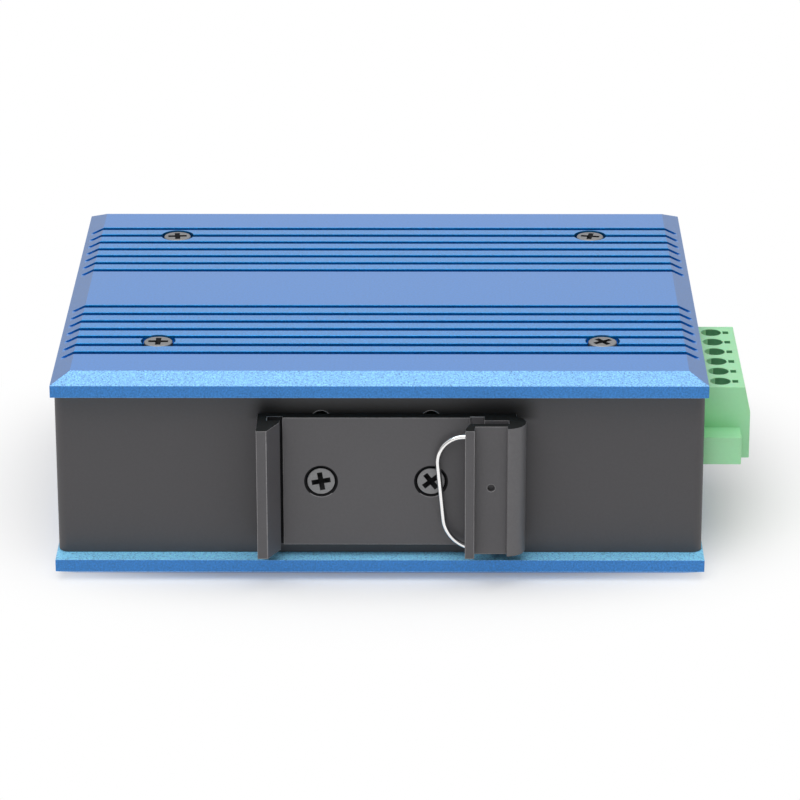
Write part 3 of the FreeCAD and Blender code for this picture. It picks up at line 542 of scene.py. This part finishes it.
def sunk_near(tops, outward, reach, depth, shallow=0.00003):
    """Picks the faces within reach of an axis through one of tops, between two depths below it."""
    outward = Vector(outward)

    def chosen(face):
        for top in tops:
            offset = face.center - Vector(top)
            below = -offset.dot(outward)
            if shallow < below < depth and (offset + outward * below).length < reach:
                return True
        return False

    return chosen


for node in ("upper_cover_screws", "lower_cover_screws"):
    screws = finished_copy(node, "dark_screw", blackened_steel, edge=screw_edge)
    low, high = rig.box(node)
    half_head = cover_screw_head / 2
    outward = (0, 0, 1) if node == "upper_cover_screws" else (0, 0, -1)
    top = high[2] if node == "upper_cover_screws" else low[2]
    head_axes = [Vector((x, y, top)) for x in (low[0] + half_head, high[0] - half_head)
                 for y in (low[1] + half_head, high[1] - half_head)]
    for corner in screws.data.vertices:
        if abs(corner.co.z - top) < recess_depth:
            axis = min(head_axes, key=lambda spot: (corner.co - spot).length)
            corner.co.x = axis.x + (corner.co.x - axis.x) * head_swell
            corner.co.y = axis.y + (corner.co.y - axis.y) * head_swell
            corner.co.z += head_lift * outward[2]
    head_tops = [axis + head_lift * Vector(outward) for axis in head_axes]
    # painted shade: the cross recesses of the cover screws are near black
    repaint(screws, recess_painted_shade, sunk_near(head_tops, outward, recess_reach, recess_depth))

# ---------------------------------------------------------------------------
# Pillars: hexagonal threaded steel spacers, zinc plated, that tie the covers
# together through the corners of the circuit board.
# ---------------------------------------------------------------------------
zinc_plate = finish("zinc_plate", (0.62, 0.63, 0.62), 1.0, 0.32, grain=0.0003,
                    height=0.000004, speck=0.12, drift=0.15, drift_size=0.004, spread=0.25)
for node in ("lower_pillars", "upper_pillars"):
    finished_copy(node, "plated_steel", zinc_plate, edge=0.0002)

# ---------------------------------------------------------------------------
# Housing: one strip of 1.2 mm steel sheet folded round three sides and coated
# in dark grey, with a separate panel of the same sheet on the port side. Two
# spare clinch-nut holes show in the rear wall, their upper rims with a painted
# highlight; above the clip the rear wall's colour carries a painted shade.
# ---------------------------------------------------------------------------
grey_coat = finish("grey_coat", (0.066, 0.063, 0.067), 0.0, 0.52, grain=0.0005,
                   height=0.000012, speck=0.08, drift=0.05, drift_size=0.03, spread=0.1)
hole_rim_painted_highlight = finish("hole_rim_painted_highlight", (0.3, 0.3, 0.305), 0.0, 0.5, grain=0.0003,
                  height=0.00001, speck=0.3, drift=0.2, drift_size=0.003, spread=0.1)


def with_painted_shade(material, name, level, edges):
    """A copy of a finish with a painted shade: its tone falls to level inside edges."""
    material = material.copy()
    material.name = name
    tree = material.node_tree
    place = tree.nodes.new("ShaderNodeTexCoord")
    split = tree.nodes.new("ShaderNodeSeparateXYZ")
    tree.links.new(place.outputs["Object"], split.inputs["Vector"])
    within = 1.0
    for axis, start, end in edges:
        past_edge = ramp(tree, split.outputs[axis], start, end, 0.0, 1.0, smooth=True)
        within = math_value(tree, "MULTIPLY", within, past_edge)
    scaled = tree.nodes.new("ShaderNodeVectorMath")
    scaled.operation = "SCALE"
    base_colour = tree.nodes["Principled BSDF"].inputs["Base Color"]
    tree.links.new(base_colour.links[0].from_socket, scaled.inputs[0])
    tree.links.new(ramp(tree, within, 0.0, 1.0, 1.0, level), scaled.inputs["Scale"])
    tree.links.new(scaled.outputs[0], base_colour)
    return material


def moved_down(piece, spots, reach, drop):
    """Moves the corners within reach of an axis along y through one of spots down by drop."""
    for corner in piece.data.vertices:
        for x, y, z in spots:
            if math.hypot(corner.co.x - x, corner.co.z - z) < reach:
                corner.co.z -= drop
                break


painted_shade_tone = 0.03
painted_shade_edges = (
    # axis, where the full tone ends, where the painted shade starts
    ("X", -0.0235, -0.0195),
    ("X", 0.0285, 0.0245),
    ("Z", 0.0285, 0.0295),
    ("Z", 0.0345, 0.0306),
)
wall_skin = 0.0001
spare_hole_x = (-0.01023, 0.00897)
spare_hole_z = 0.02945
spare_hole_drop = 0.0007
spare_hole_reach = 0.0022
hole_rim_reach = 0.00205
hole_rim_depth = 0.00025
hole_rim_above = -0.00001
hole_rim_turn = -0.2
# painted shade: the rear wall's colour darkens above the clip, standing in for the shadow between cover and clip
rear_coat_painted_shade = with_painted_shade(grey_coat, "rear_coat_painted_shade", painted_shade_tone, painted_shade_edges)
housing = finished_copy("housing_frame", "grey_housing", grey_coat, edge=0.0002)
low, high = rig.box("housing_frame")
repaint(housing, rear_coat_painted_shade, lambda face: face.center.y < low[1] + wall_skin)
spare_holes = [(x, low[1], spare_hole_z) for x in spare_hole_x]
moved_down(housing, spare_holes, spare_hole_reach, spare_hole_drop)
dropped_holes = [(x, y, z - spare_hole_drop) for x, y, z in spare_holes]
on_hole_rim = sunk_near(dropped_holes, (0, -1, 0), hole_rim_reach, hole_rim_depth,
                        hole_rim_above)
# painted highlight: the downward-facing upper rims of the spare holes take a light grey
repaint(housing, hole_rim_painted_highlight, lambda face: face.normal.z < hole_rim_turn and on_hole_rim(face))
finished_copy("front_panel", "grey_housing", grey_coat, edge=0.00015)
fastener_edge = 0.00006
finished_copy("front_panel_screws", "dark_screw", blackened_steel, edge=fastener_edge)
finished_copy("front_panel_nuts", "plated_steel", zinc_plate, edge=fastener_edge)

# ---------------------------------------------------------------------------
# Rail clip: a length of aluminium extrusion, grey coated, with the fixed hook
# at one end and the slot for the wire spring at the other; two flat-headed
# screws hold it to clinch nuts in the housing wall.
# ---------------------------------------------------------------------------
clip_coat = finish("clip_coat", (0.085, 0.082, 0.087), 0.0, 0.45, grain=0.0005,
                   height=0.000012, speck=0.1, drift=0.06, drift_size=0.01, spread=0.12)
clip_edge_wear_and_highlight = finish("clip_edge_wear_and_highlight", (0.22, 0.215, 0.22), 0.2, 0.38, grain=0.0003,
                     height=0.000008, speck=0.5, drift=0.4, drift_size=0.003, spread=0.2)
clip_bead_painted_highlight = finish("clip_bead_painted_highlight", (0.115, 0.112, 0.117), 0.0, 0.4, grain=0.0005,
                   height=0.000012, speck=0.12, drift=0.1, drift_size=0.008, spread=0.12)
clip_end_painted_shade = finish("clip_end_painted_shade", (0.012, 0.0125, 0.012), 0.0, 0.8, grain=0.0003,
                   height=0.00002, speck=0.4, drift=0.2, drift_size=0.003, spread=0.2,
                   gloss=0.1)
clip_screw_head = 0.0048
countersink_reach = 0.00283
countersink_rim = 0.003
countersink_depth = 0.0025
countersink_above = -0.0005
lip_turn = 0.2
clip_end_skin = 0.0001
bead_start_x = 0.0216
bead_back_y = -0.0475
nose_gap_x = (-0.0206, -0.01685)
nose_gap_y = (-0.0458, -0.0437)
stake_place = (0.0194, 0, 0.01805)
stake_reach = 0.0009
stake_rise = 0.0005
nut_reach = 0.0032
low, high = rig.box("clip_screws")
head_tops = [(x, low[1], (low[2] + high[2]) / 2)
             for x in (low[0] + clip_screw_head / 2, high[0] - clip_screw_head / 2)]
# the clip's broken edges take a lighter grey, partly edge wear and partly painted highlight
clip = finished_copy("din_clip_bracket", "grey_clip", clip_coat, edge=0.00012, edge_coat=clip_edge_wear_and_highlight)
moved_down(clip, [stake_place], stake_reach, -stake_rise)
clip_low, clip_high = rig.box("din_clip_bracket")
in_cone = sunk_near(head_tops, (0, -1, 0), countersink_reach, countersink_depth,
                    countersink_above)
on_lip = sunk_near(head_tops, (0, -1, 0), countersink_rim, countersink_depth,
                   countersink_above)


def on_clip_end(face):
    past_ends = (face.center.z > clip_high[2] - clip_end_skin or
                 face.center.z < clip_low[2] + clip_end_skin)
    return past_ends and tilt(face) > nearly_level


def on_bead(face):
    return (face.center.x > bead_start_x and face.center.y < bead_back_y and
            tilt(face) < half_level)


def in_nose_gap(face):
    return (nose_gap_x[0] < face.center.x < nose_gap_x[1] and
            nose_gap_y[0] < face.center.y < nose_gap_y[1] and tilt(face) < half_level)


# painted shade: the clip's end faces are near black, for the shade they lie in
repaint(clip, clip_end_painted_shade, on_clip_end)
# painted highlight: the clip's rounded bead takes a lighter grey than the rest of the clip
repaint(clip, clip_bead_painted_highlight, on_bead)
# painted shade: the gap under the hook's nose is near black, for the shadow line at its root
repaint(clip, recess_painted_shade, in_nose_gap)
# painted shade: the countersink cones and the ring round each clip screw head are near black
repaint(clip, recess_painted_shade, lambda face:
        in_cone(face) or (on_lip(face) and face.normal.z < lip_turn))
clip_screws = finished_copy("clip_screws", "dark_screw", blackened_steel, edge=screw_edge)
# painted shade: the cross recesses of the clip screws are near black
repaint(clip_screws, recess_painted_shade, sunk_near(head_tops, (0, -1, 0), recess_reach, recess_depth))
clinch_nuts = finished_copy("clip_clinch_nuts", "plated_steel", zinc_plate, edge=0.0001)
moved_down(clinch_nuts, spare_holes, nut_reach, spare_hole_drop)

# ---------------------------------------------------------------------------
# Wire spring: a bow of hard round wire, polished; both legs run into the clip's
# slot, and the rail's edge pushes the bow in against its back legs.
# ---------------------------------------------------------------------------
spring_steel = finish("spring_steel", (0.93, 0.92, 0.91), 1.0, 0.14, grain=0.0002,
                      height=0.000002, speck=0.05, drift=0.05, drift_size=0.004, spread=0.1)
wire_radius = 0.00045
wire_plane_y = -0.0475
wire_pivot_x = 0.0195
wire_lean = math.radians(-5)
wire_corners = [
    # x, z of the corner, radius of its bend
    (0.02185, 0.01755, 0.0),
    (0.02185, 0.00625, 0.0012),
    (0.01165, 0.00625, 0.0059),
    (0.0096, 0.0271, 0.0049),
    (0.02185, 0.0271, 0.0012),
    (0.02185, 0.01855, 0.0),
]
places = [Vector((x - wire_pivot_x, 0, z)) for x, z, radius in wire_corners]
knots = []
for i, here in enumerate(places):
    radius = wire_corners[i][2]
    if radius == 0.0:
        knots.append((here, here, here))
        continue
    before = (places[i - 1] - here).normalized()
    after = (places[i + 1] - here).normalized()
    opening = before.angle(after)
    setback = radius / math.tan(opening / 2)
    pull = radius * 4 / 3 * math.tan((math.pi - opening) / 4)
    enter = here + before * setback
    leave = here + after * setback
    knots.append((enter, enter, enter - before * pull))
    knots.append((leave, leave - after * pull, leave))
bpy.ops.object.select_all(action="DESELECT")
bpy.ops.curve.primitive_bezier_curve_add(location=(wire_pivot_x, wire_plane_y, 0))
wire = bpy.context.object
wire.name = "wire_spring_bow"
spline = wire.data.splines[0]
spline.bezier_points.add(len(knots) - len(spline.bezier_points))
for point, (co, left, right) in zip(spline.bezier_points, knots):
    point.handle_left_type = "FREE"
    point.handle_right_type = "FREE"
    point.co = co
    point.handle_left = left
    point.handle_right = right
wire.data.resolution_u = 16
wire.data.bevel_depth = wire_radius
wire.data.bevel_resolution = 5
wire.data.use_fill_caps = True
wire.rotation_euler = (0, 0, wire_lean)
bpy.ops.object.convert(target="MESH")
wire = bpy.context.object
bpy.ops.object.transform_apply(location=True, rotation=True, scale=True)
bpy.ops.object.shade_smooth_by_angle(angle=math.radians(40))
wire.data.materials.append(spring_steel)
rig.ride(wire, "switch")
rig.replaces(wire, "clip_wire_spring")
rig.slot(wire, "spring_wire")
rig.squash(wire, "wire_spring_press", axis=(1, 0, 0),
          anchor=(0.02185, wire_plane_y, 0.01805), keep=0.36)

# ---------------------------------------------------------------------------
# Terminal plug: pale green moulded block with six clamps at 5.08 mm, screwed by
# its two ears to the header on the circuit board.
# ---------------------------------------------------------------------------
green_moulding = finish("green_moulding", (0.355, 0.75, 0.415), 0.0, 0.42, grain=0.0006,
                        height=0.000006, speck=0.03, drift=0.05, drift_size=0.008,
                        spread=0.12, subsurface=0.15)
green_inside_painted_shade = finish("green_inside_painted_shade", (0.08, 0.27, 0.12), 0.0, 0.5, grain=0.0006,
                      height=0.000006, speck=0.05, drift=0.1, drift_size=0.004, spread=0.12)
tin_plate = finish("tin_plate", (0.7, 0.69, 0.66), 1.0, 0.3, grain=0.0003,
                   height=0.000004, speck=0.1, drift=0.12, drift_size=0.004, spread=0.2)
brass = finish("brass", (0.72, 0.52, 0.25), 1.0, 0.33, grain=0.0003,
               height=0.000004, speck=0.1, drift=0.12, drift_size=0.004, spread=0.2)
moulding_edge = 0.00012
pole_count = 6
driver_hole_reach = 0.0019
driver_hole_depth = 0.01
driver_hole_rim = 0.0003
probe_slot_offset = 0.00265
probe_slot_reach = 0.001
probe_slot_depth = 0.0008
probe_slot_rim = 0.00013
driver_hole_turn = 0.4
finished_copy("terminal_header", "green_plastic", green_moulding, edge=moulding_edge)
plug = finished_copy("terminal_plug", "green_plastic", green_moulding, edge=moulding_edge)
low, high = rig.box("terminal_plug")
hole_tops = []
slot_tops = []
for number in range(1, pole_count + 1):
    screw_low, screw_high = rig.box("clamp_screw_%d" % number)
    x = (screw_low[0] + screw_high[0]) / 2
    y = (screw_low[1] + screw_high[1]) / 2
    hole_tops.append((x, y, high[2]))
    slot_tops.append((x + probe_slot_offset, y, high[2]))
in_hole = sunk_near(hole_tops, (0, 0, 1), driver_hole_reach, driver_hole_depth, driver_hole_rim)
in_slot = sunk_near(slot_tops, (0, 0, 1), probe_slot_reach, probe_slot_depth, probe_slot_rim)
# painted shade: the probe slots and the driver hole walls that face away from +x take a dark green
repaint(plug, green_inside_painted_shade, lambda face:
        in_slot(face) or (in_hole(face) and face.normal.x < driver_hole_turn))
for node in ("plug_contacts", "header_pins"):
    finished_copy(node, "tinned_contact", tin_plate, edge=0.00004)
finished_copy("header_flange_inserts", "brass_insert", brass, edge=fastener_edge)
finished_copy("plug_flange_screws", "plated_steel", zinc_plate, edge=fastener_edge)
for number in range(1, pole_count + 1):
    for node in ("clamp_screw_%d" % number, "clamp_cage_%d" % number):
        finished_copy(node, "plated_steel", zinc_plate, edge=fastener_edge)

# ---------------------------------------------------------------------------
# Network jacks: tinned shields round black moulded sockets with gilt contacts
# and a clear lens at each upper corner. Clear light pipes stand beside them,
# from the board's three lamps to the front panel.
# ---------------------------------------------------------------------------
black_moulding = finish("black_moulding", (0.02, 0.02, 0.021), 0.0, 0.4, grain=0.0004,
                        height=0.000006, speck=0.05, drift=0.1, drift_size=0.006, spread=0.12)
gilt = finish("gilt", (0.83, 0.62, 0.25), 1.0, 0.22, grain=0.0003,
              height=0.000002, speck=0.06, drift=0.08, drift_size=0.003, spread=0.12)
clear_moulding = finish("clear_moulding", (0.86, 0.88, 0.86), 0.0, 0.12, grain=0.0008,
                        height=0.000002, speck=0.02, drift=0.03, drift_size=0.005,
                        spread=0.08, clear=0.85)
jack_count = 4
for number in range(1, jack_count + 1):
    finished_copy("jack_shield_%d" % number, "jack_shield", tin_plate, edge=0.0001)
    finished_copy("jack_insert_%d" % number, "black_plastic", black_moulding, edge=0.00008)
finished_copy("jack_contacts", "gold_contact", gilt, edge=0.00003)
for node in ("jack_lenses", "status_light_pipes"):
    finished_copy(node, "clear_plastic", clear_moulding, edge=0.0)

# ---------------------------------------------------------------------------
# Circuit board: glass fibre under green solder resist, with copper tracks that
# show through it, held at its corners between the pillars.
# ---------------------------------------------------------------------------
solder_resist = finish("solder_resist", (0.012, 0.13, 0.055), 0.0, 0.28, grain=0.0006,
                       height=0.000004, speck=0.1, drift=0.1, drift_size=0.01, spread=0.1,
                       coat=0.4, coat_roughness=0.15)
resist_over_copper = (0.03, 0.25, 0.1, 1)
tracks_per_metre = 320
track_unevenness = 0.35
track_edge = (0.05, 0.08)
tree = solder_resist.node_tree
place = tree.nodes.new("ShaderNodeTexCoord")
tracks = tree.nodes.new("ShaderNodeTexVoronoi")
tracks.feature = "DISTANCE_TO_EDGE"
tracks.inputs["Scale"].default_value = tracks_per_metre
tracks.inputs["Randomness"].default_value = track_unevenness
tree.links.new(place.outputs["Object"], tracks.inputs["Vector"])
on_track = ramp(tree, tracks.outputs["Distance"], *track_edge, 1.0, 0.0)
over_copper = tree.nodes.new("ShaderNodeMix")
over_copper.data_type = "RGBA"
base_colour = tree.nodes["Principled BSDF"].inputs["Base Color"]
tree.links.new(on_track, over_copper.inputs["Factor"])
tree.links.new(base_colour.links[0].from_socket, over_copper.inputs[6])
over_copper.inputs[7].default_value = resist_over_copper
tree.links.new(over_copper.outputs[2], base_colour)
finished_copy("main_circuit_board", "green_board", solder_resist, edge=0.0001)

# ---------------------------------------------------------------------------
# Parts on the board: moulded black packages and ferrite, metal cans, and three
# small lamps under the light pipes, all soldered down.
# ---------------------------------------------------------------------------
epoxy = finish("epoxy", (0.022, 0.022, 0.024), 0.0, 0.5, grain=0.0002,
               height=0.00001, speck=0.3, drift=0.1, drift_size=0.005, spread=0.15)
ferrite = finish("ferrite", (0.045, 0.044, 0.046), 0.15, 0.62, grain=0.0004,
                 height=0.00003, speck=0.5, drift=0.15, drift_size=0.004, spread=0.15)
can_metal = finish("can_metal", (0.66, 0.66, 0.65), 1.0, 0.36, grain=0.0003,
                   height=0.000005, speck=0.12, drift=0.1, drift_size=0.004, spread=0.2)
can_sleeve = finish("can_sleeve", (0.03, 0.032, 0.05), 0.0, 0.3, grain=0.0005,
                    height=0.000005, speck=0.08, drift=0.1, drift_size=0.004, spread=0.1)
lamp_resin = finish("lamp_resin", (0.78, 0.76, 0.6), 0.0, 0.25, grain=0.0003,
                    height=0.000004, speck=0.05, drift=0.06, drift_size=0.001, spread=0.1,
                    subsurface=0.3)
package_edge = 0.00008
can_top_turn = 0.8
for node in ("switch_chip", "converter_chip", "port_transformers", "fault_relay",
             "input_fuse", "surge_suppressors"):
    finished_copy(node, "black_component", epoxy, edge=package_edge)
finished_copy("power_inductor", "black_component", ferrite, edge=package_edge)
finished_copy("crystal", "can_metal", can_metal, edge=package_edge)
finished_copy("status_leds", "clear_plastic", lamp_resin, edge=package_edge)
cans = finished_copy("input_capacitors", "can_metal", can_sleeve, edge=0.00015)
repaint(cans, can_metal, lambda face: face.normal.z > can_top_turn)

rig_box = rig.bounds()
with open("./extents.json", "w") as sizes:
    json.dump({"cad": [list(corner) for corner in solid_box],
               "visual": [list(corner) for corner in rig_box]}, sizes)
